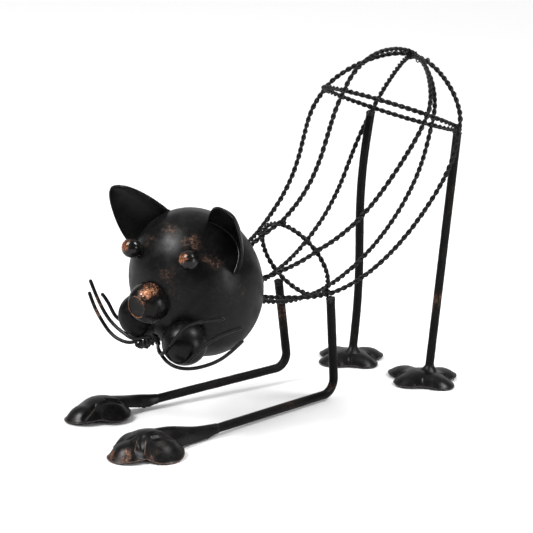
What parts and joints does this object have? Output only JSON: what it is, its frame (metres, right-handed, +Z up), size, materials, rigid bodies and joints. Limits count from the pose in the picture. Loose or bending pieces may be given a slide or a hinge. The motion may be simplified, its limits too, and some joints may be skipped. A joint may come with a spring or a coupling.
{
  "type": "metal cat sculpture",
  "caption": "Painted steel cat ornament stretching with its chest low and rump raised: open twisted wire body, bent rod legs, clover-shaped paws and a ball head with ears and whiskers.",
  "frame": {"origin": "middle of the bounding box in plan, on the floor that the paws stand on", "axes": "-Y is the way the cat faces, +X is the cat's left, +Z is up"},
  "size_m": [0.1396, 0.3182, 0.2363],
  "materials": {
    "cage_paint": "satin black on twisted wire",
    "leg_paint": "satin black, worn to copper brown in streaks",
    "paw_paint": "satin black with copper brown rims",
    "head_paint": "satin black with copper brown patches",
    "ear_paint": "satin black",
    "eye_paint": "satin black rubbed to copper brown",
    "nose_paint": "rubbed copper brown over black",
    "whisker_paint": "satin black, worn to copper brown in places"
  },
  "bodies": {
    "root": {"head": "head_paint", "nose": "nose_paint", "cheek_left": "head_paint", "cheek_right": "head_paint", "eye_left": "eye_paint", "eye_right": "eye_paint", "ear_left": "ear_paint", "ear_right": "ear_paint", "whisker_left_1": "whisker_paint", "whisker_left_2": "whisker_paint", "whisker_left_3": "whisker_paint", "whisker_right_1": "whisker_paint", "whisker_right_2": "whisker_paint", "whisker_right_3": "whisker_paint", "shoulder_hoop": "cage_paint", "rump_hoop": "cage_paint", "wire_spine": "cage_paint", "wire_belly": "cage_paint", "wire_upper_left": "cage_paint", "wire_upper_right": "cage_paint", "wire_lower_left": "cage_paint", "wire_lower_right": "cage_paint", "crown_knot": "cage_paint", "front_leg_left": "leg_paint", "front_leg_right": "leg_paint", "rear_leg_left": "leg_paint", "rear_leg_right": "leg_paint", "front_paw_left": "paw_paint", "front_paw_right": "paw_paint", "rear_paw_left": "paw_paint", "rear_paw_right": "paw_paint"}
  },
  "joints": []
}
